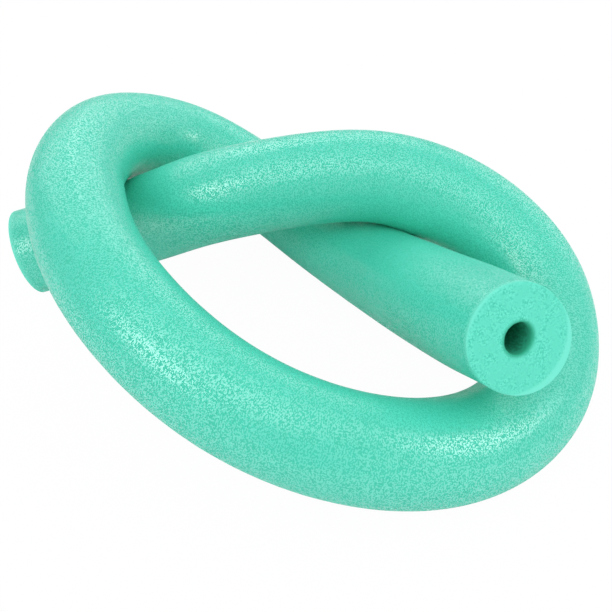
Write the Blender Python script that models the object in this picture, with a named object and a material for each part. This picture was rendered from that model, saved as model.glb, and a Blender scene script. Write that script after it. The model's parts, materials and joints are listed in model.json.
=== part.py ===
"""A foam pool noodle that lies on the ground in a loose overhand knot.

The noodle is one extruded tube of closed-cell foam, with a bore down its whole length. It is modelled
as stretches of that tube, laid end to end along one smooth line, so that the knot's gaps and the bore
stay open between plain solids and the free tail in front can be lifted. The stretches are places on
one tube, not parts that come apart.

Metres, +Z up. The ground is z = 0, and the origin is the middle of the footprint.
"""
import math

import bmesh
import bpy
import numpy as np
from mathutils import Matrix, Vector

# The extrusion, as it is sold.
noodle_diameter = 0.065
bore_diameter = 0.018

# The two free tails, measured along the noodle from where each dives under another strand.
near_tail_length = 0.177
far_tail_length = 0.091

# Saw-thin space between one stretch and the next.
seam_gap = 0.0003

# Facets, the angle past which an edge stays sharp, and how close to the ground a corner counts as
# lying on it.
outer_sides = 24
bore_sides = 12
ring_spacing = 0.0135
sharp_edge_degrees = 40.0
ground_tolerance = 0.000003

# The line of the noodle's axis, as shares of its diameter, measured from the ground under the middle
# of the knot: +X right, +Y away, +Z up. It runs just under half a diameter high where the noodle
# lies on the ground, so that its soft underside is pressed flat there. The first and last points are
# beyond the cut ends and only lead the tails.
route_shares = (
    (2.020, -3.030, 2.250),
    (1.745, -2.375, 1.890),
    (1.245, -1.170, 1.230),
    (0.810, -0.110, 0.700),
    (0.110, 0.920, 0.495),
    (-0.660, 1.580, 0.710),
    (-1.520, 1.840, 1.110),
    (-2.200, 1.335, 1.540),
    (-2.435, 0.360, 1.775),
    (-2.240, -0.640, 1.720),
    (-1.570, -1.720, 1.500),
    (-0.615, -2.430, 1.150),
    (0.600, -2.700, 0.800),
    (1.650, -2.400, 0.545),
    (2.390, -1.605, 0.530),
    (2.460, -0.590, 0.900),
    (1.780, 0.120, 1.350),
    (0.800, 0.380, 1.595),
    (-0.300, 0.330, 1.540),
    (-1.260, 0.370, 1.255),
    (-1.985, 0.590, 0.815),
    (-2.630, 0.550, 0.650),
    (-3.345, 0.425, 0.475),
    (-4.080, 0.330, 0.290),
)

# Places along the line, by the number of the point in the route.
under_arch = 3
under_lobe = 20
knot_seams = (
    ("under_run", 5),
    ("upper_lobe", 8),
    ("left_side", 11),
    ("front_run", 13),
    ("right_bend", 16),
    ("arch", 18),
)

# The near tail's flexing stretch, as shares of the tail's length from the crossing.
flex_start_share = 0.24
flex_end_share = 0.50

# The foam.
foam_colour = (0.100, 0.660, 0.470, 1.0)
foam_roughness = 0.55


class Line:
    """The noodle's axis: a smooth curve through points, read by the distance along it."""

    samples_per_span = 60

    def __init__(self, points):
        self.points = np.array(points, dtype=float)
        steps = np.linalg.norm(np.diff(self.points, axis=0), axis=1)
        self.knots = np.concatenate([[0.0], np.cumsum(steps)])
        self.bends = self._second_derivatives()
        spans = len(self.points) - 1
        shares = np.linspace(0.0, spans, spans * self.samples_per_span + 1)
        self.trace = np.array([self._at(share) for share in shares])
        strides = np.linalg.norm(np.diff(self.trace, axis=0), axis=1)
        self.distances = np.concatenate([[0.0], np.cumsum(strides)])
        self.ahead = np.gradient(self.trace, self.distances, axis=0)
        self.ahead /= np.linalg.norm(self.ahead, axis=1)[:, None]
        self.side = self._untwisted_sides()

    def _second_derivatives(self):
        """Second derivatives at the points, for a curve whose ends are free of bend."""
        count = len(self.points)
        steps = np.diff(self.knots)
        slopes = np.diff(self.points, axis=0) / steps[:, None]
        matrix = np.eye(count)
        right = np.zeros((count, 3))
        for i in range(1, count - 1):
            matrix[i, i - 1] = steps[i - 1]
            matrix[i, i] = 2.0 * (steps[i - 1] + steps[i])
            matrix[i, i + 1] = steps[i]
            right[i] = 6.0 * (slopes[i] - slopes[i - 1])
        return np.linalg.solve(matrix, right)

    def _at(self, share):
        """Position at a share, where point number i has share i."""
        i = min(int(share), len(self.points) - 2)
        step = self.knots[i + 1] - self.knots[i]
        b = share - i
        a = 1.0 - b
        chord = a * self.points[i] + b * self.points[i + 1]
        bow = (a**3 - a) * self.bends[i] + (b**3 - b) * self.bends[i + 1]
        return chord + bow * step**2 / 6.0

    def _untwisted_sides(self):
        """A sideways direction at every sample that turns with the line but never about it."""
        side = np.cross(self.ahead[0], (0.0, 0.0, 1.0))
        sides = []
        for ahead in self.ahead:
            side = side - ahead * np.dot(side, ahead)
            side = side / np.linalg.norm(side)
            sides.append(side)
        return np.array(sides)

    def distance_of(self, number):
        """Distance along the line of the route's point with this number."""
        return float(self.distances[number * self.samples_per_span])

    def place(self, distance):
        """Matrix of a cross-section: X sideways, Z ahead along the line."""
        position, ahead, side = (
            Vector([float(np.interp(distance, self.distances, values[:, k])) for k in range(3)])
            for values in (self.trace, self.ahead, self.side)
        )
        ahead.normalize()
        across = ahead.cross(side).normalized()
        side = across.cross(ahead)
        turn = Matrix((side, across, ahead)).transposed().to_4x4()
        return Matrix.Translation(position) @ turn


def clear_scene():
    """Removes every object, so that the file starts empty."""
    for item in list(bpy.data.objects):
        bpy.data.objects.remove(item, do_unlink=True)


def foam(name):
    """Closed-cell foam with its satin extruded skin."""
    material = bpy.data.materials.new(name + "_foam")
    material.use_nodes = True
    shader = material.node_tree.nodes["Principled BSDF"]
    shader.inputs["Base Color"].default_value = foam_colour
    shader.inputs["Roughness"].default_value = foam_roughness
    shader.inputs["Metallic"].default_value = 0.0
    material.diffuse_color = foam_colour
    return material


def circle(mesh, place, diameter, sides):
    """A ring of vertices in the cross-section at a place, and its edges."""
    made = bmesh.ops.create_circle(mesh, segments=sides, radius=diameter / 2, matrix=place)
    ring = made["verts"]
    return list({edge for vertex in ring for edge in vertex.link_edges})


def bored_tube(line, start, end):
    """A stretch between two distances: rings bridged into a skin and a bore, and two square cuts."""
    mesh = bmesh.new()
    count = max(2, math.ceil((end - start) / ring_spacing) + 1)
    places = [line.place(start + (end - start) * i / (count - 1)) for i in range(count)]
    skin = [circle(mesh, place, noodle_diameter, outer_sides) for place in places]
    bore = [circle(mesh, place, bore_diameter, bore_sides) for place in places]
    for rings in (skin, bore):
        for near, far in zip(rings, rings[1:]):
            bmesh.ops.bridge_loops(mesh, edges=near + far)
    for number in (0, -1):
        bmesh.ops.triangle_fill(mesh, use_beauty=True, edges=skin[number] + bore[number])
    bmesh.ops.recalc_face_normals(mesh, faces=mesh.faces)
    return mesh


def press_on_ground(mesh):
    """Cuts away what is below the ground and closes the cut with a flat face."""
    everything = mesh.verts[:] + mesh.edges[:] + mesh.faces[:]
    cut = bmesh.ops.bisect_plane(
        mesh,
        geom=everything,
        dist=ground_tolerance,
        plane_co=(0.0, 0.0, 0.0),
        plane_no=(0.0, 0.0, 1.0),
        clear_inner=True,
    )
    rim = [item for item in cut["geom_cut"] if isinstance(item, bmesh.types.BMEdge)]
    if rim:
        bmesh.ops.holes_fill(mesh, edges=rim)
        bmesh.ops.recalc_face_normals(mesh, faces=mesh.faces)


def stretch_object(name, mesh, origin, parent):
    """A named object for one stretch, with its origin at a given place."""
    mesh.transform(Matrix.Translation(-origin))
    data = bpy.data.meshes.new(name)
    mesh.to_mesh(data)
    mesh.free()
    data.shade_smooth()
    data.set_sharp_from_angle(angle=math.radians(sharp_edge_degrees))
    data.materials.append(foam(name))
    stretch = bpy.data.objects.new(name, data)
    bpy.context.collection.objects.link(stretch)
    stretch.parent = parent
    stretch.location = origin - parent.location
    return stretch


def empty(name, place):
    """A named empty that stretches are parented to."""
    marker = bpy.data.objects.new(name, None)
    marker.location = place
    bpy.context.collection.objects.link(marker)
    return marker


def stretches_along(line):
    """Name, start and end distance of every stretch, from the near cut to the far cut."""
    crossing = line.distance_of(under_arch)
    near_cut = crossing - near_tail_length
    flex_start = crossing - near_tail_length * flex_start_share
    flex_end = crossing - near_tail_length * flex_end_share
    far_cut = line.distance_of(under_lobe) + far_tail_length
    names = ["near_tail_end", "near_tail_bend"] + [name for name, _ in knot_seams] + ["far_tail"]
    seams = [near_cut, flex_end, flex_start] + [line.distance_of(number) for _, number in knot_seams]
    seams.append(far_cut)
    spans = []
    for number, name in enumerate(names):
        start = seams[number] + (seam_gap / 2 if number > 0 else 0.0)
        end = seams[number + 1] - (seam_gap / 2 if number < len(names) - 1 else 0.0)
        spans.append((name, start, end))
    return spans


def main():
    clear_scene()
    line = Line(np.array(route_shares) * noodle_diameter)
    spans = stretches_along(line)
    meshes = {name: bored_tube(line, start, end) for name, start, end in spans}

    corners = np.array([vertex.co for mesh in meshes.values() for vertex in mesh.verts])
    low, high = corners.min(axis=0), corners.max(axis=0)
    middle = Vector(((low[0] + high[0]) / 2, (low[1] + high[1]) / 2, 0.0))
    for mesh in meshes.values():
        mesh.transform(Matrix.Translation(-middle))
        press_on_ground(mesh)

    flex_middle = (spans[1][1] + spans[1][2]) / 2
    pivot = line.place(flex_middle).translation - middle
    noodle = empty("noodle", Vector((0.0, 0.0, 0.0)))
    tail_pivot = empty("near_tail_pivot", pivot)
    for name, start, end in spans:
        if name == "near_tail_end":
            stretch_object(name, meshes[name], pivot, tail_pivot)
        else:
            origin = line.place((start + end) / 2).translation - middle
            stretch_object(name, meshes[name], origin, noodle)

    length = spans[-1][2] - spans[0][1]
    print(f"noodle {length:.4f} m long, {noodle_diameter:.4f} m across")


if __name__ == "__main__":
    main()
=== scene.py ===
"""The finished surfaces of a foam pool noodle that lies in a loose overhand knot.

The noodle is one extruded tube of mint-green closed-cell foam. Its satin skin has a fine pebbled grain,
its ends are sawn square, and a bore runs down its whole length. Each stretch of the tube is a closed
surface of its own, and neighbouring stretches share the ring of points and normals where they meet, so
that the skin shows no seam.

Lengths are in metres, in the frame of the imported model.
"""
import json
import logging
import math
from dataclasses import dataclass, field
from enum import Enum

import bpy
import numpy as np
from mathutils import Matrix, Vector


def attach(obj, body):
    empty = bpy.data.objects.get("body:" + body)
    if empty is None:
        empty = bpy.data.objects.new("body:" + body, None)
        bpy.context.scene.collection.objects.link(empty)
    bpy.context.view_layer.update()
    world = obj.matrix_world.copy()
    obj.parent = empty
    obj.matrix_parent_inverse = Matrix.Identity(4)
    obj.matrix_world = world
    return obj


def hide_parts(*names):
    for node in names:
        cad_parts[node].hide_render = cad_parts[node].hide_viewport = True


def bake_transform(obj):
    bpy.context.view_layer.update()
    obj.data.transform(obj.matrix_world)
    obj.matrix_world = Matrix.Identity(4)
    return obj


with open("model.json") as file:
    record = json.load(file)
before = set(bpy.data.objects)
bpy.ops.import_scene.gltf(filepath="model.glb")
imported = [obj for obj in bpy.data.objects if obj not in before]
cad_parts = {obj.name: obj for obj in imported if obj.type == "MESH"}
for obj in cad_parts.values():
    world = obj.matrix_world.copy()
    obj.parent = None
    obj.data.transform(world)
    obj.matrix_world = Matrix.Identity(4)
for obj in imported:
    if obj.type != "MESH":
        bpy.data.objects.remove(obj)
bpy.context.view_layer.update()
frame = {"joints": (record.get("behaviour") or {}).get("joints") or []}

log = logging.getLogger("noodle")

# Each point of the mesh keeps, under this name, its place when the noodle lies straight.
STRAIGHT_PLACE = "straight"

# A length that is shorter than this one counts as zero.
LEAST_LENGTH = 1e-12

# Points on the noodle's axis, as shares of its diameter. The first and last lie beyond the cuts.
ROUTE_SHARES = (
    (2.020, -3.030, 2.250),
    (1.745, -2.375, 1.890),
    (1.245, -1.170, 1.230),
    (0.810, -0.110, 0.700),
    (0.110, 0.920, 0.495),
    (-0.660, 1.580, 0.710),
    (-1.520, 1.840, 1.110),
    (-2.200, 1.335, 1.540),
    (-2.435, 0.360, 1.775),
    (-2.240, -0.640, 1.720),
    (-1.570, -1.720, 1.500),
    (-0.615, -2.430, 1.150),
    (0.600, -2.700, 0.800),
    (1.650, -2.400, 0.545),
    (2.390, -1.605, 0.530),
    (2.460, -0.590, 0.900),
    (1.780, 0.120, 1.350),
    (0.800, 0.380, 1.595),
    (-0.300, 0.330, 1.540),
    (-1.260, 0.370, 1.255),
    (-1.985, 0.590, 0.815),
    (-2.630, 0.550, 0.650),
    (-3.345, 0.425, 0.475),
    (-4.080, 0.330, 0.290),
)


class Surface(Enum):
    """The three finishes of the foam, by their material slot on each piece."""

    SKIN = 0
    CUT = 1
    BORE = 2


class Meeting(Enum):
    """How a stretch ends: at a sawn end of the noodle, or at the next stretch."""

    SAWN = "sawn"
    NEXT = "next"


@dataclass
class NoodleAxis:
    """The smooth line down the middle of the noodle, read by the distance along it.

    The near tail is measured from the route's point under the arch, and the far tail from the one under
    the lobe. The near tail flexes between two shares of its length from there, with its hinge midway.
    """

    diameter: float = 0.065
    near_tail_length: float = 0.177
    far_tail_length: float = 0.091
    flex_start_share: float = 0.24
    flex_end_share: float = 0.50
    under_arch: int = 3
    under_lobe: int = 20
    samples_per_span: int = 60
    pivot: tuple[float, float, float] = (0.0, 0.0, 0.0)

    def __post_init__(self) -> None:
        """Fits the curve through the route and moves it so that the flexing stretch is on its hinge."""
        self.points = np.array(ROUTE_SHARES) * self.diameter
        steps = np.linalg.norm(np.diff(self.points, axis=0), axis=1)
        self.knots = np.concatenate([[0.0], np.cumsum(steps)])
        self.bends = self._second_derivatives()
        spans = len(self.points) - 1
        self.shares = np.linspace(0.0, spans, spans * self.samples_per_span + 1)
        trace, slope = self._curve(self.shares)
        strides = np.linalg.norm(np.diff(trace, axis=0), axis=1)
        self.distances = np.concatenate([[0.0], np.cumsum(strides)])
        self.ahead = slope / np.linalg.norm(slope, axis=1)[:, None]
        self.side = self._untwisted_sides()
        self.bend = np.gradient(self.ahead, self.distances, axis=0)
        self.shift = np.zeros(3)
        self.shift = np.array(self.pivot) - self.centre((self.flex_start + self.flex_end) / 2)

    def _second_derivatives(self) -> np.ndarray:
        """Second derivatives of a cubic spline at the route's points, with ends that are free of bend.

        Returns:
            One vector for each point.
        """
        count = len(self.points)
        steps = np.diff(self.knots)
        slopes = np.diff(self.points, axis=0) / steps[:, None]
        matrix = np.eye(count)
        right = np.zeros((count, 3))
        for i in range(1, count - 1):
            matrix[i, i - 1] = steps[i - 1]
            matrix[i, i] = 2.0 * (steps[i - 1] + steps[i])
            matrix[i, i + 1] = steps[i]
            right[i] = 6.0 * (slopes[i] - slopes[i - 1])
        return np.linalg.solve(matrix, right)

    def _curve(self, shares: np.ndarray) -> tuple[np.ndarray, np.ndarray]:
        """Positions on the curve and its slopes.

        Args:
            shares: Places on the curve, where point number i of the route has share i.

        Returns:
            Positions and slopes, one row for each share.
        """
        i = np.minimum(shares.astype(int), len(self.points) - 2)
        step = (self.knots[i + 1] - self.knots[i])[:, None]
        b = (shares - i)[:, None]
        a = 1.0 - b
        near, far = self.points[i], self.points[i + 1]
        near_bend, far_bend = self.bends[i], self.bends[i + 1]
        place = a * near + b * far + ((a**3 - a) * near_bend + (b**3 - b) * far_bend) * step**2 / 6.0
        pull = (3.0 * b**2 - 1.0) * far_bend - (3.0 * a**2 - 1.0) * near_bend
        return place, (far - near) / step + pull * step / 6.0

    def _untwisted_sides(self) -> np.ndarray:
        """A sideways direction at every sample that turns with the line but never about it.

        Returns:
            One unit vector for each sample.
        """
        side = np.cross(self.ahead[0], (0.0, 0.0, 1.0))
        sides = []
        for ahead in self.ahead:
            side = side - ahead * np.dot(side, ahead)
            side = side / np.linalg.norm(side)
            sides.append(side)
        return np.array(sides)

    def distance_of(self, number: int) -> float:
        """Distance along the line of the route's point with this number."""
        return float(self.distances[number * self.samples_per_span])

    def centre(self, distance: float) -> np.ndarray:
        """Point on the axis at a distance."""
        return self.at(np.array([distance]))[0][0]

    def at(self, distances: np.ndarray) -> tuple[np.ndarray, ...]:
        """Cross-sections along the line.

        Args:
            distances: Distances along the line.

        Returns:
            The centres, and the directions sideways, across and ahead, one row for each distance.
        """
        shares = np.interp(distances, self.distances, self.shares)
        centre, slope = self._curve(shares)
        ahead = slope / np.linalg.norm(slope, axis=1)[:, None]
        side = self._read(self.side, distances)
        across = np.cross(ahead, side)
        across = across / np.linalg.norm(across, axis=1)[:, None]
        return centre + self.shift, np.cross(across, ahead), across, ahead

    def curvature(self, distances: np.ndarray) -> np.ndarray:
        """Curvature vectors, towards the inside of each bend."""
        return self._read(self.bend, distances)

    def _read(self, values: np.ndarray, distances: np.ndarray) -> np.ndarray:
        """Values at the samples, read at other distances."""
        return np.stack([np.interp(distances, self.distances, values[:, k]) for k in range(3)], axis=1)

    @property
    def near_cut(self) -> float:
        """Distance of the sawn end that faces front."""
        return self.distance_of(self.under_arch) - self.near_tail_length

    @property
    def far_cut(self) -> float:
        """Distance of the sawn end at the back of the left side."""
        return self.distance_of(self.under_lobe) + self.far_tail_length

    @property
    def flex_start(self) -> float:
        """Distance where the near tail's flexing stretch leaves the knot."""
        return self.distance_of(self.under_arch) - self.near_tail_length * self.flex_start_share

    @property
    def flex_end(self) -> float:
        """Distance where the near tail's flexing stretch ends."""
        return self.distance_of(self.under_arch) - self.near_tail_length * self.flex_end_share


@dataclass(frozen=True)
class Press:
    """A soft swelling of the foam, or a dent, where strands press on each other or a cut end flares.

    It is highest on the side of the noodle that looks towards the named direction, and it fades over its
    reach along the noodle.
    """

    distance: float
    towards: tuple[float, float, float]
    height: float
    reach: float

    def height_at(self, distances: np.ndarray, outward: np.ndarray) -> np.ndarray:
        """How far the skin stands out because of it.

        Args:
            distances: Distances along the noodle, one for each ring.
            outward: Outward directions, by ring and column.

        Returns:
            Heights, by ring and column.
        """
        towards = np.array(self.towards) / np.linalg.norm(self.towards)
        fade = np.exp(-(((distances - self.distance) / self.reach) ** 2))
        return self.height * fade[:, None] * np.maximum(outward @ towards, 0.0) ** 2


@dataclass(frozen=True)
class SkinRelief:
    """The skin's departure from a true round: slow swells of the extrusion and ripples inside bends.

    A ripple starts where a bend shortens the skin by one share of its length, and is full at another.
    """

    swell_depth: float = 0.00005
    swell_lengths: tuple[float, ...] = (0.071, 0.043, 0.029, 0.019)
    swell_lobes: tuple[int, ...] = (1, 2, 3, 5)
    ripple_depth: float = 0.00016
    ripple_pitch: float = 0.0062
    ripple_drift_length: float = 0.047
    ripple_drift: float = 1.9
    squeeze_start: float = 0.20
    squeeze_full: float = 0.50
    seed: int = 4

    def radius_change(self, along: np.ndarray, angle: np.ndarray, squeeze: np.ndarray) -> np.ndarray:
        """How far the skin stands out at points of the tube.

        Args:
            along: Distances along the noodle.
            angle: Angles round it.
            squeeze: How much the bend shortens the skin there, as a share of its length.

        Returns:
            The change of radius.
        """
        draw = np.random.default_rng(self.seed)
        change = np.zeros(np.broadcast(along, angle).shape)
        for length, lobes in zip(self.swell_lengths, self.swell_lobes):
            start, turn = draw.uniform(0.0, 2.0 * math.pi, 2)
            wave = np.sin(2.0 * math.pi * along / length + start) * np.cos(lobes * angle + turn)
            change = change + self.swell_depth * wave / len(self.swell_lengths)
        turns = along / self.ripple_drift_length
        drift = self.ripple_drift * np.sin(2.0 * math.pi * turns + 2.0 * angle)
        fold = np.abs(np.sin(math.pi * along / self.ripple_pitch + drift))
        over = (squeeze - self.squeeze_start) / (self.squeeze_full - self.squeeze_start)
        return change - self.ripple_depth * np.clip(over, 0.0, 1.0) * (1.0 - fold) ** 2


@dataclass(frozen=True)
class SawnEnd:
    """A square saw cut: a softened rim, a slightly uneven face and a worn bore mouth.

    The rim and the mouth's lip are sharp on one side, and most worn at an angle round the noodle. The
    bore's plain wall starts at a multiple of the lip's greatest radius.
    """

    rim_sharp: float = 0.0008
    rim_worn: float = 0.0050
    rim_worn_towards: float = 3.7
    rim_depth: float = 0.0012
    rim_rows: int = 12
    face_rows: int = 22
    face_unevenness: float = 0.00016
    face_wave_lengths: tuple[float, ...] = (0.031, 0.017, 0.009, 0.006)
    lip_sharp: float = 0.0005
    lip_worn: float = 0.0028
    lip_worn_towards: float = 0.0
    lip_rows: int = 12
    wall_start_share: float = 1.5
    raggedness: float = 0.00012
    ragged_lobes: tuple[int, ...] = (5, 8, 13, 19, 27)
    seed: int = 9

    def rim(self, angle: np.ndarray) -> np.ndarray:
        """Width of the rim's rounding at angles round the noodle."""
        share = 0.5 + 0.5 * np.cos(angle - self.rim_worn_towards)
        return self.rim_sharp + (self.rim_worn - self.rim_sharp) * share**2

    def lip(self, angle: np.ndarray) -> np.ndarray:
        """Radius of the bore mouth's rounding at angles round the noodle."""
        share = 0.5 + 0.5 * np.cos(angle - self.lip_worn_towards)
        return self.lip_sharp + (self.lip_worn - self.lip_sharp) * share**2

    def ragged(self, angle: np.ndarray) -> np.ndarray:
        """How far the bore is out of round.

        Args:
            angle: Angles round the noodle.

        Returns:
            The change of the bore's radius at each angle.
        """
        draw = np.random.default_rng(self.seed)
        change = np.zeros(angle.shape)
        for lobes in self.ragged_lobes:
            turn = draw.uniform(0.0, 2.0 * math.pi)
            change = change + np.cos(lobes * angle + turn) / math.sqrt(lobes)
        return self.raggedness * change

    def face_depth(self, radius: np.ndarray, angle: np.ndarray) -> np.ndarray:
        """How far the sawn face lies below its plane, always a little inwards.

        Args:
            radius: Distances from the noodle's axis.
            angle: Angles round it.

        Returns:
            The depth at each point.
        """
        draw = np.random.default_rng(self.seed)
        x, y = radius * np.cos(angle), radius * np.sin(angle)
        depth = np.zeros(radius.shape)
        for length in self.face_wave_lengths:
            heading, start = draw.uniform(0.0, 2.0 * math.pi, 2)
            along = x * math.cos(heading) + y * math.sin(heading)
            depth = depth + 0.5 + 0.5 * np.sin(2.0 * math.pi * along / length + start)
        return self.face_unevenness * depth / len(self.face_wave_lengths)


@dataclass
class ProfileRow:
    """One ring of a stretch, and the finish of the faces after it.

    The push shifts its points along the noodle. A hidden ring lies in a seam, where no eye sees it.
    """

    distance: float
    radius: np.ndarray
    push: np.ndarray
    surface: Surface
    hidden: bool = False


@dataclass
class FoamTube:
    """The whole tube's fine skin, from which the stretches take their rows."""

    axis: NoodleAxis
    bore_diameter: float = 0.018
    columns: int = 112
    skin_spacing: float = 0.0016
    bore_spacing: float = 0.008
    seam_recess: float = 0.0002
    relief: SkinRelief = field(default_factory=SkinRelief)
    presses: tuple[Press, ...] = (
        # The near cut flares on one side and is drawn in on two others.
        Press(distance=0.052, towards=(0.76, -0.04, -0.65), height=0.0043, reach=0.030),
        Press(distance=0.052, towards=(0.55, 0.57, 0.61), height=-0.0018, reach=0.030),
        Press(distance=0.052, towards=(-0.55, -0.57, -0.61), height=-0.0020, reach=0.030),
        # The near tail swells upwards beside the arch, and the arch swells down towards it.
        Press(distance=0.172, towards=(0.36, 0.54, 0.76), height=0.0005, reach=0.024),
        Press(distance=1.214, towards=(-0.38, -0.53, -0.76), height=0.0021, reach=0.022),
        # The far tail swells upwards before and under the lobe.
        Press(distance=1.434, towards=(-0.35, 0.46, 0.81), height=0.0012, reach=0.024),
        Press(distance=1.370, towards=(-0.25, 0.49, 0.83), height=0.0010, reach=0.060),
        # The lobe is dented inside, and its outer side is drawn in.
        Press(distance=0.594, towards=(0.94, 0.05, -0.33), height=-0.0013, reach=0.018),
        Press(distance=0.565, towards=(-0.73, 0.12, 0.67), height=-0.0012, reach=0.040),
        # The far cut flares at its top.
        Press(distance=1.537, towards=(-0.20, 0.60, 0.77), height=0.0016, reach=0.025),
    )

    def __post_init__(self) -> None:
        """Sets out the angles round the tube."""
        self.angles = np.arange(self.columns) * 2.0 * math.pi / self.columns

    def directions(self, distances: np.ndarray) -> tuple[np.ndarray, np.ndarray, np.ndarray]:
        """Centres, outward directions round each ring, and directions ahead.

        Args:
            distances: Distances along the noodle.

        Returns:
            Arrays of shape (rows, 3), (rows, columns, 3) and (rows, 3).
        """
        centre, side, across, ahead = self.axis.at(distances)
        cosine, sine = np.cos(self.angles)[None, :, None], np.sin(self.angles)[None, :, None]
        return centre, cosine * side[:, None] + sine * across[:, None], ahead

    def skin_radius(self, distances: np.ndarray) -> np.ndarray:
        """Radii of the skin.

        Args:
            distances: Distances along the noodle.

        Returns:
            Radii, by row and column.
        """
        _, outward, _ = self.directions(distances)
        bend = self.axis.curvature(distances)[:, None, :]
        squeeze = (outward * bend).sum(axis=2) * self.axis.diameter / 2.0
        relief = self.relief.radius_change(distances[:, None], self.angles[None, :], squeeze)
        pressed = sum(press.height_at(distances, outward) for press in self.presses)
        return self.axis.diameter / 2.0 + relief + pressed

    def place(self, distances: np.ndarray, radius: np.ndarray, push: np.ndarray) -> np.ndarray:
        """Points of rings.

        Args:
            distances: Distances along the noodle, one for each row.
            radius: Radii, by row and column.
            push: Shifts along the noodle from each ring's own place, by row and column.

        Returns:
            Points of shape (rows, columns, 3), pressed flat where they would be below the ground.
        """
        centre, outward, ahead = self.directions(distances)
        points = centre[:, None] + radius[:, :, None] * outward + push[:, :, None] * ahead[:, None]
        points[:, :, 2] = np.maximum(points[:, :, 2], 0.0)
        return points

    def skin_normals(self, distances: np.ndarray) -> np.ndarray:
        """Normals of the skin, which depend on the place alone and so agree across a seam.

        Args:
            distances: Distances along the noodle.

        Returns:
            Unit normals of shape (rows, columns, 3).
        """
        reach = self.skin_spacing / 2.0
        none = np.zeros((len(distances), self.columns))
        before, here, after = (
            self.place(there, self.skin_radius(there), none)
            for there in (distances - reach, distances, distances + reach)
        )
        return self.normals_between(before, after, here)

    @staticmethod
    def normals_between(before: np.ndarray, after: np.ndarray, ring: np.ndarray) -> np.ndarray:
        """Unit normals of rings, from the rings on both sides of them.

        Args:
            before: Points of the rings before them.
            after: Points of the rings after them.
            ring: Their own points.

        Returns:
            Unit normals, in the shape of the points.
        """
        around = np.roll(ring, -1, axis=1) - np.roll(ring, 1, axis=1)
        normal = np.cross(around, after - before)
        return normal / np.maximum(np.linalg.norm(normal, axis=2), LEAST_LENGTH)[:, :, None]


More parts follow.
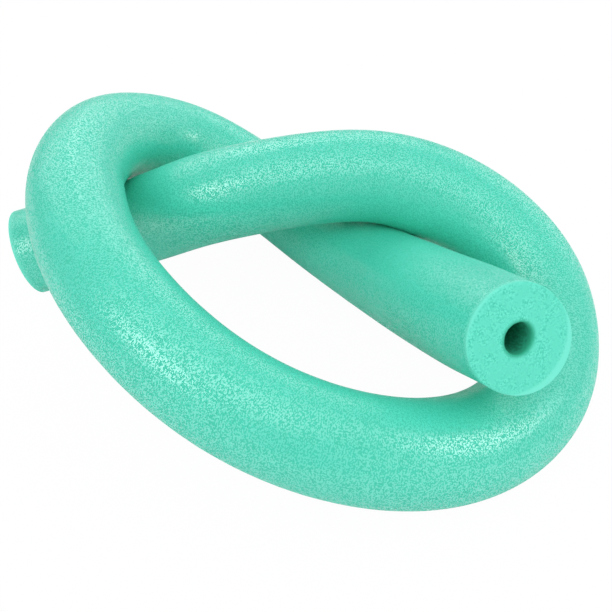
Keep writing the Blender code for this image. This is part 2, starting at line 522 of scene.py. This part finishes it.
@dataclass
class Stretch:
    """One stretch of the noodle as a closed piece: skin, bore, and a sawn end or a seam at each end."""

    name: str
    nodes: tuple[str, ...]
    start: float
    end: float
    tube: FoamTube
    at_start: Meeting = Meeting.NEXT
    at_end: Meeting = Meeting.NEXT
    sawn: SawnEnd = field(default_factory=SawnEnd)

    def rows(self) -> list[ProfileRow]:
        """The rings of the piece.

        Returns:
            The rings, up the skin and back down the bore.
        """
        tube = self.tube
        low = self.start + (self.sawn.rim_depth if self.at_start is Meeting.SAWN else 0.0)
        high = self.end - (self.sawn.rim_depth if self.at_end is Meeting.SAWN else 0.0)
        count = max(2, math.ceil((high - low) / tube.skin_spacing) + 1)
        distances = np.linspace(low, high, count)
        none = np.zeros(tube.columns)
        radii = tube.skin_radius(distances)
        rows = [ProfileRow(d, r, none, Surface.SKIN) for d, r in zip(distances, radii)]
        rows += self.end_rows(self.end, -1.0, self.at_end)
        wall = self.bore_radius()
        rows += [ProfileRow(d, wall, none, Surface.BORE) for d in self.bore_distances()]
        rows += reversed(self.end_rows(self.start, 1.0, self.at_start))
        return rows

    def bore_radius(self) -> np.ndarray:
        """Radii of the bore, slightly out of round."""
        return self.tube.bore_diameter / 2.0 + self.sawn.ragged(self.tube.angles)

    def bore_distances(self) -> np.ndarray:
        """Where the rings of the bore's plain wall are.

        Returns:
            Distances along the noodle, from the end of the stretch to its start.
        """
        room = self.sawn.lip_worn * self.sawn.wall_start_share
        low = self.start + (room if self.at_start is Meeting.SAWN else 0.0)
        high = self.end - (room if self.at_end is Meeting.SAWN else 0.0)
        count = max(2, math.ceil((high - low) / self.tube.bore_spacing) + 1)
        return np.linspace(high, low, count)

    def end_rows(self, distance: float, inwards: float, meeting: Meeting) -> list[ProfileRow]:
        """The rings from the skin to the bore at one end.

        Args:
            distance: Where the end is.
            inwards: 1 where the foam lies ahead of the end, and -1 where it lies behind it.
            meeting: How the stretch ends there.

        Returns:
            The rings, from the outside in.
        """
        angles = self.tube.angles
        if meeting is Meeting.NEXT:
            middle = np.full(angles.shape, (self.tube.axis.diameter + self.tube.bore_diameter) / 4.0)
            push = np.full(angles.shape, inwards * self.tube.seam_recess)
            return [ProfileRow(distance, middle, push, Surface.CUT, hidden=True)]
        cut = self.sawn
        outside = self.tube.skin_radius(np.array([distance]))[0]
        bore = self.bore_radius()
        rim, lip = cut.rim(angles), cut.lip(angles)
        rows = []
        for turn in np.linspace(0.0, math.pi / 2.0, cut.rim_rows + 1)[1:]:
            depth = cut.rim_depth * (1.0 - math.sin(turn))
            rows.append((outside - rim * (1.0 - math.cos(turn)), np.full(angles.shape, depth)))
        rim_edge, lip_edge = outside - rim, bore + lip
        for share in np.linspace(0.0, 1.0, cut.face_rows + 1)[1:]:
            radius = rim_edge + (lip_edge - rim_edge) * share
            ease = math.sin(math.pi * share)
            rows.append((radius, cut.face_depth(radius, angles) * ease))
        for turn in np.linspace(0.0, math.pi / 2.0, cut.lip_rows + 1)[1:]:
            rows.append((bore + lip * (1.0 - math.sin(turn)), lip * (1.0 - math.cos(turn))))
        return [ProfileRow(distance, radius, inwards * depth, Surface.CUT) for radius, depth in rows]

    def build(self) -> bpy.types.Object:
        """Makes the piece's mesh.

        Returns:
            The new object, in place and without materials.
        """
        rows = self.rows()
        distances = np.array([row.distance for row in rows])
        radius = np.stack([row.radius for row in rows])
        push = np.stack([row.push for row in rows])
        points = self.tube.place(distances, radius, push)
        normals = self.ring_normals(rows, points, distances)
        data = bpy.data.meshes.new(self.name)
        count, columns = radius.shape
        number = np.arange(count * columns).reshape(count, columns)
        after, beside = np.roll(number, -1, axis=0), np.roll(number, -1, axis=1)
        corners = np.stack([number, beside, np.roll(after, -1, axis=1), after], axis=2)
        data.from_pydata(points.reshape(-1, 3).tolist(), [], corners.reshape(-1, 4).tolist())
        finish = [self.finish_after(rows, i).value for i in range(count)]
        data.polygons.foreach_set("material_index", np.repeat(finish, columns))
        data.shade_smooth()
        data.normals_split_custom_set(normals.reshape(-1, 3).tolist())
        self.mark_straight(data, distances, radius, push)
        data.update()
        piece = bpy.data.objects.new(self.name, data)
        bpy.context.scene.collection.objects.link(piece)
        return piece

    @staticmethod
    def finish_after(rows: list[ProfileRow], number: int) -> Surface:
        """The finish of the faces between a ring and the one after it.

        Args:
            rows: The rings of the piece.
            number: The ring's place among them.

        Returns:
            The finish that both rings share, or else the sawn face's.
        """
        here, following = rows[number], rows[(number + 1) % len(rows)]
        if here.surface is following.surface:
            return here.surface
        return Surface.CUT

    def ring_normals(
        self, rows: list[ProfileRow], points: np.ndarray, distances: np.ndarray
    ) -> np.ndarray:
        """Normals for each face corner.

        Args:
            rows: The rings of the piece.
            points: Their points.
            distances: Their distances along the noodle.

        Returns:
            Normals of shape (rows, columns, 4, 3), for the corners in the order of the faces.
        """
        tube = self.tube
        smooth = tube.normals_between(np.roll(points, 1, axis=0), np.roll(points, -1, axis=0), points)
        _, outward, ahead = tube.directions(distances)
        skin = np.array([row.surface is Surface.SKIN for row in rows])
        bore = np.array([row.surface is Surface.BORE for row in rows])
        smooth[skin] = tube.skin_normals(distances[skin])
        smooth[bore] = -outward[bore]
        first, second = smooth.copy(), np.roll(smooth, -1, axis=0)
        for i, row in enumerate(rows):
            if row.hidden:
                sign = -np.sign(row.push[0])
                cap = np.broadcast_to(sign * ahead[i], first[i].shape)
                first[i], second[i] = cap, cap
                first[i - 1], second[i - 1] = cap, cap
        beside = np.roll(first, -1, axis=1)
        opposite = np.roll(second, -1, axis=1)
        return np.stack([first, beside, opposite, second], axis=2)

    def mark_straight(
        self, data: bpy.types.Mesh, distances: np.ndarray, radius: np.ndarray, push: np.ndarray
    ) -> None:
        """Stores where each point would be if the noodle lay straight, for the foam's texture.

        Args:
            data: The mesh.
            distances: Distance of each ring.
            radius: Radii, by ring and column.
            push: Shifts along the noodle, by ring and column.
        """
        angles = self.tube.angles[None, :]
        along = distances[:, None] + push
        straight = np.stack([along, radius * np.cos(angles), radius * np.sin(angles)], axis=2)
        layer = data.attributes.new(STRAIGHT_PLACE, "FLOAT_VECTOR", "POINT")
        layer.data.foreach_set("vector", straight.astype(np.float32).ravel())


@dataclass(frozen=True)
class CellPattern:
    """What the foam's grain is drawn from: pebbles, three noises, and the limits of its masks."""

    pebble_smoothness: float = 0.6
    stroke_detail: float = 1.5
    stroke_distortion: float = 0.4
    patch_detail: float = 4.0
    patch_limits: tuple[float, float] = (0.3, 0.7)
    top_limits: tuple[float, float] = (0.42, 0.58)
    fleck_scale: float = 0.95
    fleck_detail: float = 0.5
    fleck_limits: tuple[float, float] = (0.45, 0.57)


@dataclass(frozen=True)
class SkinFinish:
    """The extruded skin: satin, with a fine pebbled grain, and scuffed matte just beside the cuts, where
    its pale colour is a painted sheen.
    """

    colour: tuple[float, float, float] = (0.051, 0.590, 0.425)
    pale: tuple[float, float, float] = (0.064, 0.705, 0.530)
    deep: tuple[float, float, float] = (0.047, 0.565, 0.400)
    cell_size: float = 0.0010
    roundness: float = 0.15
    stretch: float = 0.7
    patch_cells: float = 14.0
    grain_depth: float = 0.0003
    roughness: float = 0.78
    fleck_roughness: float = 0.25
    specular: float = 0.60
    glint_strength: float = 0.52
    glint_roughness: float = 0.28
    glint_ior: float = 2.6
    # Width of the matte skin beside the cuts, which also carries a painted pale sheen.
    scuff_and_sheen_width: float = 0.005


@dataclass(frozen=True)
class CutFinish:
    """The sawn face: matte open cells, a little brighter than the skin, with a paler band at the rim that
    is a painted highlight, and darker at the bore's mouth with painted shade.
    """

    colour: tuple[float, float, float] = (0.140, 0.765, 0.590)
    pit: tuple[float, float, float] = (0.074, 0.635, 0.465)
    speck: tuple[float, float, float] = (0.056, 0.575, 0.410)
    shade: tuple[float, float, float] = (0.108, 0.702, 0.528)
    # A pale colour: a painted highlight on the rounded rim, and a painted sheen on the skin beside the
    # cuts, not the foam's own colour.
    edge: tuple[float, float, float] = (0.165, 0.780, 0.615)
    # The dark colour at the bore's mouth: painted shade of the bore.
    mouth: tuple[float, float, float] = (0.020, 0.400, 0.240)
    cell_size: float = 0.0011
    roundness: float = 0.35
    stretch: float = 1.0
    patch_cells: float = 4.5
    grain_depth: float = 0.00012
    roughness: float = 0.85
    # Width of the painted rim highlight on the face.
    edge_width: float = 0.0022
    # Width of the painted shade round the bore's mouth.
    mouth_shade_width: float = 0.0028


@dataclass(frozen=True)
class ShadedBoreFinish:
    """The bore's wall: the same foam with rough, torn cells, in a dark colour that is painted shade
    inside the bore.
    """

    # Dark colours that paint the shade inside the bore.
    colour: tuple[float, float, float] = (0.020, 0.400, 0.240)
    pit: tuple[float, float, float] = (0.013, 0.300, 0.175)
    cell_size: float = 0.0016
    roundness: float = 0.6
    stretch: float = 1.4
    patch_cells: float = 5.0
    grain_depth: float = 0.0003
    roughness: float = 0.8


class NodeBench:
    """Short ways to add and join shader nodes in one tree."""

    def __init__(self, tree: bpy.types.NodeTree) -> None:
        """Starts on a tree."""
        self.tree = tree

    def add(self, kind: str, **settings: object) -> bpy.types.Node:
        """Adds a node.

        Args:
            kind: The node's type.
            settings: Its properties.

        Returns:
            The new node.
        """
        node = self.tree.nodes.new(kind)
        for name, value in settings.items():
            setattr(node, name, value)
        return node

    def feed(self, socket: bpy.types.NodeSocket, value: object) -> None:
        """Links a socket to another one, or sets its value.

        Args:
            socket: The input.
            value: The output that feeds it, or its value. A colour has three shares here.
        """
        if isinstance(value, bpy.types.NodeSocket):
            self.tree.links.new(value, socket)
        elif isinstance(value, tuple) and len(value) == 3 and socket.type == "RGBA":
            socket.default_value = (*value, 1.0)
        else:
            socket.default_value = value

    def compute(self, operation: str, *values: object) -> bpy.types.NodeSocket:
        """Works out a number.

        Args:
            operation: What a Math node is to do.
            values: The numbers or sockets that it works on.

        Returns:
            The result's socket.
        """
        node = self.add("ShaderNodeMath", operation=operation)
        for socket, value in zip(node.inputs, values):
            self.feed(socket, value)
        return node.outputs[0]

    def mix(self, factor: object, low: object, high: object) -> bpy.types.NodeSocket:
        """Blends two colours.

        Args:
            factor: How much of the second colour there is.
            low: The first colour.
            high: The second colour.

        Returns:
            The blend's socket.
        """
        node = self.add("ShaderNodeMix", data_type="RGBA")
        colours = [socket for socket in node.inputs if socket.type == "RGBA"]
        self.feed(node.inputs[0], factor)
        self.feed(colours[0], low)
        self.feed(colours[1], high)
        return next(socket for socket in node.outputs if socket.type == "RGBA")

    def steps(self, value: object, low: float, high: float) -> bpy.types.NodeSocket:
        """Brings a value smoothly from 0 to 1.

        Args:
            value: The value's socket.
            low: Where the result is still 0.
            high: Where it is 1.

        Returns:
            The result's socket.
        """
        node = self.add("ShaderNodeMapRange", interpolation_type="SMOOTHSTEP")
        self.feed(node.inputs["Value"], value)
        node.inputs["From Min"].default_value = low
        node.inputs["From Max"].default_value = high
        return node.outputs["Result"]

    def noise(
        self, place: bpy.types.NodeSocket, scale: object, detail: float, distortion: float = 0.0
    ) -> bpy.types.NodeSocket:
        """A smooth noise in space.

        Args:
            place: Where each point is.
            scale: How often the noise changes over a unit of that place.
            detail: How many finer noises lie on the first one.
            distortion: How much the noise is drawn into streaks.

        Returns:
            The noise's socket, with values about one half.
        """
        node = self.add("ShaderNodeTexNoise", noise_dimensions="3D")
        self.feed(node.inputs["Vector"], place)
        self.feed(node.inputs["Scale"], scale)
        node.inputs["Detail"].default_value = detail
        node.inputs["Distortion"].default_value = distortion
        return node.outputs[0]


class FoamCells:
    """The grain of the foam as a node group that all three finishes use.

    It takes the straightened place, the size of a cell, how far the cells are drawn out along the noodle,
    how round they are, and how many cells wide the slow patches are. It puts out the height of the grain
    and three masks: the slow patches, the tops of the grain, and small flecks that glint.
    """

    settings = ("Cell Size", "Stretch", "Roundness", "Patch Cells")
    results = ("Height", "Mottle", "Tops", "Glints")

    def __init__(self, pattern: CellPattern) -> None:
        """Builds the group once.

        Args:
            pattern: What the grain is drawn from.
        """
        self.pattern = pattern
        self.tree = bpy.data.node_groups.new("foam_cells", "ShaderNodeTree")
        sockets = self.tree.interface
        sockets.new_socket("Straight", in_out="INPUT", socket_type="NodeSocketVector")
        for label in self.settings:
            sockets.new_socket(label, in_out="INPUT", socket_type="NodeSocketFloat")
        for label in self.results:
            sockets.new_socket(label, in_out="OUTPUT", socket_type="NodeSocketFloat")
        bench = NodeBench(self.tree)
        given = bench.add("NodeGroupInput").outputs
        made = bench.add("NodeGroupOutput").inputs
        spot = self.count_in_cells(bench, given["Straight"], given["Cell Size"], given["Stretch"])
        height = self.height(bench, spot, given["Roundness"])
        patch_scale = bench.compute("DIVIDE", 1.0, given["Patch Cells"])
        patches = bench.noise(spot, patch_scale, pattern.patch_detail)
        flecks = bench.noise(spot, pattern.fleck_scale, pattern.fleck_detail)
        bench.feed(made["Height"], height)
        bench.feed(made["Mottle"], bench.steps(patches, *pattern.patch_limits))
        bench.feed(made["Tops"], bench.steps(height, *pattern.top_limits))
        bench.feed(made["Glints"], bench.steps(flecks, *pattern.fleck_limits))

    @staticmethod
    def count_in_cells(
        bench: NodeBench,
        place: bpy.types.NodeSocket,
        cell_size: bpy.types.NodeSocket,
        stretch: bpy.types.NodeSocket,
    ) -> bpy.types.NodeSocket:
        """Measures a place in cells instead of metres.

        Args:
            bench: The group's nodes.
            place: The straightened place.
            cell_size: The size of a cell across the noodle.
            stretch: How many times as long a cell is along it.

        Returns:
            The place's socket.
        """
        split = bench.add("ShaderNodeSeparateXYZ")
        bench.feed(split.inputs[0], place)
        along, across, up = split.outputs
        joined = bench.add("ShaderNodeCombineXYZ")
        for socket, value in zip(joined.inputs, (bench.compute("DIVIDE", along, stretch), across, up)):
            bench.feed(socket, value)
        scaled = bench.add("ShaderNodeVectorMath", operation="SCALE")
        bench.feed(scaled.inputs[0], joined.outputs[0])
        bench.feed(scaled.inputs["Scale"], bench.compute("DIVIDE", 1.0, cell_size))
        return scaled.outputs[0]

    def height(
        self, bench: NodeBench, spot: bpy.types.NodeSocket, roundness: bpy.types.NodeSocket
    ) -> bpy.types.NodeSocket:
        """The height of the grain, of short strokes or of round pebbles.

        Args:
            bench: The group's nodes.
            spot: The place in cells.
            roundness: The share of pebbles.

        Returns:
            The height's socket.
        """
        cells = bench.add("ShaderNodeTexVoronoi", feature="SMOOTH_F1")
        bench.feed(cells.inputs["Vector"], spot)
        cells.inputs["Scale"].default_value = 1.0
        cells.inputs["Smoothness"].default_value = self.pattern.pebble_smoothness
        pebbles = bench.compute("SUBTRACT", 1.0, cells.outputs["Distance"])
        strokes = bench.noise(spot, 1.0, self.pattern.stroke_detail, self.pattern.stroke_distortion)
        stroke_share = bench.compute("SUBTRACT", 1.0, roundness)
        round_part = bench.compute("MULTIPLY", pebbles, roundness)
        return bench.compute("ADD", round_part, bench.compute("MULTIPLY", strokes, stroke_share))

    def place(self, bench: NodeBench, look: SkinFinish | CutFinish | ShadedBoreFinish) -> bpy.types.Node:
        """Puts the group into a material.

        Args:
            bench: The material's nodes.
            look: The finish whose grain it makes.

        Returns:
            The group's node.
        """
        place = bench.add("ShaderNodeAttribute", attribute_name=STRAIGHT_PLACE)
        group = bench.add("ShaderNodeGroup", node_tree=self.tree)
        bench.feed(group.inputs["Straight"], place.outputs["Vector"])
        group.inputs["Cell Size"].default_value = look.cell_size
        group.inputs["Stretch"].default_value = look.stretch
        group.inputs["Roundness"].default_value = look.roundness
        group.inputs["Patch Cells"].default_value = look.patch_cells
        return group


class FoamMaterials:
    """The three materials of the foam."""

    def __init__(self, tube: FoamTube, pattern: CellPattern) -> None:
        """Builds the grain once.

        Args:
            tube: The tube that wears them.
            pattern: What the grain is drawn from.
        """
        self.cells = FoamCells(pattern)
        self.noodle_diameter = tube.axis.diameter
        self.bore_diameter = tube.bore_diameter
        self.cuts = (tube.axis.near_cut, tube.axis.far_cut)

    @staticmethod
    def start(name: str) -> tuple[bpy.types.Material, NodeBench, bpy.types.Node]:
        """Starts a material.

        Args:
            name: The material's name.

        Returns:
            The material, its bench and its shader.
        """
        material = bpy.data.materials.new(name)
        material.use_nodes = True
        return material, NodeBench(material.node_tree), material.node_tree.nodes["Principled BSDF"]

    @staticmethod
    def bump(
        bench: NodeBench, shader: bpy.types.Node, height: bpy.types.NodeSocket, depth: float
    ) -> None:
        """Feeds the grain into the shader's normal.

        Args:
            bench: The material's nodes.
            shader: Its shader.
            height: The height of the grain, from 0 to about 1.
            depth: What a height of 1 is in metres.
        """
        bump = bench.add("ShaderNodeBump")
        bump.inputs["Distance"].default_value = depth
        bench.feed(bump.inputs["Height"], height)
        bench.feed(shader.inputs["Normal"], bump.outputs[0])

    @staticmethod
    def straight(bench: NodeBench) -> bpy.types.Node:
        """Reads the place that a point has when the noodle lies straight.

        Args:
            bench: The material's nodes.

        Returns:
            A node that puts out the distances along, across and up.
        """
        place = bench.add("ShaderNodeAttribute", attribute_name=STRAIGHT_PLACE)
        split = bench.add("ShaderNodeSeparateXYZ")
        bench.feed(split.inputs[0], place.outputs["Vector"])
        return split

    def beyond_scuff_and_sheen(self, bench: NodeBench, width: float) -> bpy.types.NodeSocket:
        """Masks the scuffed skin beside the cuts, which is matte and carries a painted pale sheen.

        Args:
            bench: The material's nodes.
            width: How far the scuffed skin with its painted sheen reaches from a cut.

        Returns:
            The mask's socket: 0 at both cuts, and 1 from the width on.
        """
        along = self.straight(bench).outputs[0]
        first = bench.steps(along, self.cuts[0], self.cuts[0] + width)
        last = bench.steps(along, self.cuts[1] - width, self.cuts[1])
        return bench.compute("SUBTRACT", first, last)

    def skin(self, look: SkinFinish, cut: CutFinish) -> bpy.types.Material:
        """The satin extruded skin, matte just beside the cuts, where it takes on the rim's pale colour as
        a painted sheen.

        Args:
            look: The skin's finish.
            cut: The finish of the sawn faces.

        Returns:
            The material.
        """
        material, bench, shader = self.start("foam_skin")
        grain = self.cells.place(bench, look)
        slow = bench.mix(grain.outputs["Mottle"], look.deep, look.colour)
        whole = self.beyond_scuff_and_sheen(bench, look.scuff_and_sheen_width)
        glints = bench.compute("MULTIPLY", grain.outputs["Glints"], whole)
        body = bench.mix(glints, slow, look.pale)
        # Beside the cuts the skin takes the rim's pale colour: a painted sheen.
        bench.feed(shader.inputs["Base Color"], bench.mix(whole, cut.edge, body))
        smoother = look.fleck_roughness - look.roughness
        roughness = bench.compute("MULTIPLY_ADD", glints, smoother, look.roughness)
        bench.feed(shader.inputs["Roughness"], roughness)
        shader.inputs["Specular IOR Level"].default_value = look.specular
        bench.feed(shader.inputs["Coat Weight"], bench.compute("MULTIPLY", glints, look.glint_strength))
        shader.inputs["Coat Roughness"].default_value = look.glint_roughness
        shader.inputs["Coat IOR"].default_value = look.glint_ior
        self.bump(bench, shader, grain.outputs["Height"], look.grain_depth)
        return material

    def cut(self, look: CutFinish) -> bpy.types.Material:
        """The matte sawn face, darker in patches of open cells, paler at the rim with a painted
        highlight, and darker at the bore's mouth with painted shade.

        Args:
            look: The finish of the sawn faces.

        Returns:
            The material.
        """
        material, bench, shader = self.start("foam_cut")
        grain = self.cells.place(bench, look)
        slow = bench.mix(grain.outputs["Mottle"], look.shade, look.colour)
        open_cells = bench.compute("SUBTRACT", 1.0, grain.outputs["Tops"])
        patchy = bench.compute("MULTIPLY", open_cells, grain.outputs["Mottle"])
        specks = bench.compute("MULTIPLY", patchy, grain.outputs["Glints"])
        body = bench.mix(specks, bench.mix(patchy, slow, look.pit), look.speck)
        _, across, up = self.straight(bench).outputs
        squares = [bench.compute("POWER", way, 2.0) for way in (across, up)]
        radius = bench.compute("SQRT", bench.compute("ADD", *squares))
        outside, inside = self.noodle_diameter / 2.0, self.bore_diameter / 2.0
        # A paler band at the rim of the face: a painted highlight.
        edge = bench.steps(radius, outside - look.edge_width, outside)
        # Darker towards the bore: painted shade at its mouth.
        face = bench.steps(radius, inside, inside + look.mouth_shade_width)
        rimmed = bench.mix(edge, body, look.edge)
        bench.feed(shader.inputs["Base Color"], bench.mix(face, look.mouth, rimmed))
        shader.inputs["Roughness"].default_value = look.roughness
        self.bump(bench, shader, grain.outputs["Height"], look.grain_depth)
        return material

    def bore(self, look: ShadedBoreFinish) -> bpy.types.Material:
        """The rough wall of the bore, darkened with painted shade.

        Args:
            look: The bore's finish.

        Returns:
            The material.
        """
        material, bench, shader = self.start("foam_bore_painted_shade")
        grain = self.cells.place(bench, look)
        # The bore's dark colour is painted shade.
        bench.feed(shader.inputs["Base Color"], bench.mix(grain.outputs["Tops"], look.pit, look.colour))
        shader.inputs["Roughness"].default_value = look.roughness
        self.bump(bench, shader, grain.outputs["Height"], look.grain_depth)
        return material


@dataclass
class Noodle:
    """The whole noodle: its stretches, their finishes, and the bodies they move with.

    Each seam names a stretch and the route's point where it ends. The near tail is one piece.
    """

    axis: NoodleAxis
    seams: tuple[tuple[str, int], ...] = (
        ("under_run", 5),
        ("upper_lobe", 8),
        ("left_side", 11),
        ("front_run", 13),
        ("right_bend", 16),
        ("arch", 18),
    )
    bend_margin: float = 0.004
    far_saw: SawnEnd = SawnEnd(rim_sharp=0.0008, rim_worn=0.0008, rim_depth=0.0008)
    pattern: CellPattern = field(default_factory=CellPattern)
    skin_look: SkinFinish = field(default_factory=SkinFinish)
    cut_look: CutFinish = field(default_factory=CutFinish)
    shaded_bore_look: ShadedBoreFinish = field(default_factory=ShadedBoreFinish)

    def __post_init__(self) -> None:
        """Sets out the tube that the stretches are cut from."""
        self.tube = FoamTube(self.axis)

    def stretches(self) -> list[Stretch]:
        """Cuts the tube into its stretches.

        Returns:
            The stretches in order, from the near cut to the far cut.
        """
        axis, tube = self.axis, self.tube
        nodes = ("near_tail_end", "near_tail_bend")
        here = axis.flex_start
        found = [Stretch("near_tail_foam", nodes, axis.near_cut, here, tube, at_start=Meeting.SAWN)]
        for name, number in self.seams:
            there = axis.distance_of(number)
            found.append(Stretch(name + "_foam", (name,), here, there, tube))
            here = there
        nodes, end = ("far_tail",), axis.far_cut
        last = Stretch("far_tail_foam", nodes, here, end, tube, at_end=Meeting.SAWN, sawn=self.far_saw)
        return [*found, last]

    def make(self) -> None:
        """Builds and dresses every piece, and hides the model's parts that it replaces."""
        materials = FoamMaterials(self.tube, self.pattern)
        skin = materials.skin(self.skin_look, self.cut_look)
        finishes = (skin, materials.cut(self.cut_look), materials.bore(self.shaded_bore_look))
        for stretch in self.stretches():
            piece = stretch.build()
            for material in finishes:
                piece.data.materials.append(material)
            if stretch.at_start is Meeting.SAWN:
                start = self.axis.centre(self.axis.flex_start - self.bend_margin)
                end = self.axis.centre(self.axis.flex_end)
                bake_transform(piece)
            else:
                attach(piece, "knot")
            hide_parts(*stretch.nodes)
            log.info("%s: %d faces", piece.name, len(piece.data.polygons))


@dataclass
class PhotoCamera:
    """The camera, at the photograph's place and angle."""

    look_at: tuple[float, float, float]
    elevation_degrees: float = 43.63
    distance: float = 0.6078
    focal_pixels: float = 773.0
    frame_pixels: float = 612.0
    sensor_width: float = 36.0
    nearest: float = 0.01

    def make(self) -> None:
        """Adds the camera and makes it the scene's own."""
        lens = bpy.data.cameras.new("photo_camera")
        lens.sensor_fit = "HORIZONTAL"
        lens.sensor_width = self.sensor_width
        lens.lens = self.sensor_width * self.focal_pixels / self.frame_pixels
        lens.clip_start = self.nearest
        camera = bpy.data.objects.new("photo_camera", lens)
        rise = math.radians(self.elevation_degrees)
        back = Vector((0.0, -math.cos(rise), math.sin(rise)))
        camera.location = Vector(self.look_at) + back * self.distance
        camera.rotation_mode = "QUATERNION"
        camera.rotation_quaternion = (-back).to_track_quat("-Z", "Y")
        bpy.context.scene.collection.objects.link(camera)
        bpy.context.scene.camera = camera
        log.info("camera: %.2f mm lens, %.3f m away", lens.lens, self.distance)


@dataclass(frozen=True)
class Softbox:
    """A large square lamp that points at the noodle."""

    name: str
    azimuth_degrees: float
    elevation_degrees: float
    size: float
    watts: float
    distance: float = 1.2

    def make(self, target: Vector) -> None:
        """Hangs the lamp and turns it to the noodle.

        Args:
            target: The point that the lamp faces and is measured from.
        """
        lamp = bpy.data.lights.new(self.name, "AREA")
        lamp.shape = "SQUARE"
        lamp.size = self.size
        lamp.energy = self.watts
        hung = bpy.data.objects.new(self.name, lamp)
        turn, rise = math.radians(self.azimuth_degrees), math.radians(self.elevation_degrees)
        level = math.cos(rise)
        back = Vector((math.sin(turn) * level, -math.cos(turn) * level, math.sin(rise)))
        hung.location = target + back * self.distance
        hung.rotation_mode = "QUATERNION"
        hung.rotation_quaternion = (-back).to_track_quat("-Z", "Y")
        bpy.context.scene.collection.objects.link(hung)


@dataclass
class Studio:
    """A plain white table in soft light.

    The floor and the sky each have a share of white that is seen and one that is mirrored. The sky's
    light is what it gives the noodle.
    """

    floor_half: float = 3.0
    floor_colour: tuple[float, float, float] = (0.90, 0.90, 0.90)
    floor_seen: float = 0.97
    floor_mirrored: float = 0.1
    sky_seen: float = 1.0
    sky_mirrored: float = 0.42
    sky_light: float = 0.42
    lamps: tuple[Softbox, ...] = (
        Softbox("front_left_softbox", -47.0, 40.0, size=0.55, watts=2.6),
        Softbox("right_softbox", 70.0, 34.0, size=0.55, watts=3.0),
        Softbox("high_left_fill", -20.0, 62.0, size=0.9, watts=1.9),
        Softbox("top_fill", 40.0, 78.0, size=1.2, watts=2.6),
        Softbox("back_fill", 180.0, 34.0, size=0.9, watts=3.0),
        Softbox("left_fill", -140.0, 35.0, size=0.9, watts=2.5),
        Softbox("low_left_fill", -40.0, 12.0, size=0.9, watts=1.4),
        Softbox("front_fill", 35.0, 14.0, size=0.9, watts=1.4),
        Softbox("low_right_fill", 130.0, 22.0, size=0.9, watts=2.2),
    )

    def floor_material(self) -> bpy.types.Material:
        """A white floor that shows as near white.

        Returns:
            The material.
        """
        material = bpy.data.materials.new("white_table")
        material.use_nodes = True
        bench = NodeBench(material.node_tree)
        material.node_tree.nodes.clear()
        diffuse = bench.add("ShaderNodeBsdfDiffuse")
        bench.feed(diffuse.inputs["Color"], self.floor_colour)
        shine = bench.add("ShaderNodeEmission")
        shine.inputs["Strength"].default_value = 1.0
        seen = self.seen_white(bench, self.floor_seen, self.floor_mirrored)
        both = bench.add("ShaderNodeMixShader")
        bench.feed(both.inputs[0], seen)
        bench.feed(both.inputs[1], diffuse.outputs[0])
        bench.feed(both.inputs[2], shine.outputs[0])
        out = bench.add("ShaderNodeOutputMaterial")
        bench.feed(out.inputs["Surface"], both.outputs[0])
        return material

    @staticmethod
    def seen_white(bench: NodeBench, shown: float, mirrored: float) -> bpy.types.NodeSocket:
        """How much white a ray finds: what is seen, what is mirrored, and none for the noodle's light.

        Args:
            bench: The nodes of its material or of the world.
            shown: Share of white that the camera sees, directly or through glass.
            mirrored: Share of white that a glossy surface reflects.

        Returns:
            The share for each ray.
        """
        rays = bench.add("ShaderNodeLightPath").outputs
        plain = bench.compute("MAXIMUM", rays["Is Camera Ray"], rays["Is Transmission Ray"])
        glossy = bench.compute("MULTIPLY", rays["Is Glossy Ray"], mirrored)
        return bench.compute("MAXIMUM", bench.compute("MULTIPLY", plain, shown), glossy)

    def make_world(self) -> None:
        """A white sky: even fill light, and plain white where it is seen."""
        world = bpy.data.worlds.new("white_room")
        bpy.context.scene.world = world
        world.use_nodes = True
        bench = NodeBench(world.node_tree)
        sky = world.node_tree.nodes["Background"]
        sky.inputs["Color"].default_value = (1.0, 1.0, 1.0, 1.0)
        seen = self.seen_white(bench, self.sky_seen, self.sky_mirrored)
        bench.feed(sky.inputs["Strength"], bench.compute("MAXIMUM", seen, self.sky_light))

    def make(self, target: Vector) -> None:
        """Lays the floor, lights it and sets the plain view of colours.

        Args:
            target: The point that the lamps face.
        """
        half = self.floor_half
        data = bpy.data.meshes.new("floor")
        corners = [(-half, -half, 0.0), (half, -half, 0.0), (half, half, 0.0), (-half, half, 0.0)]
        data.from_pydata(corners, [], [(0, 1, 2, 3)])
        data.materials.append(self.floor_material())
        floor = bpy.data.objects.new("floor", data)
        bpy.context.scene.collection.objects.link(floor)
        self.make_world()
        for lamp in self.lamps:
            lamp.make(target)
        bpy.context.scene.view_settings.view_transform = "Standard"
        log.info("studio: %d lamps", len(self.lamps))


def main() -> None:
    """Builds the scene: camera, noodle, studio."""
    logging.basicConfig(level=logging.INFO, format="%(message)s")
    hinge = next(joint for joint in frame["joints"] if joint["name"] == "near_tail_lift")
    axis = NoodleAxis(pivot=tuple(hinge["pos_m"]))
    PhotoCamera(look_at=tuple(axis.shift)).make()
    Noodle(axis).make()
    Studio().make(Vector(axis.shift))


if __name__ == "__main__":
    main()
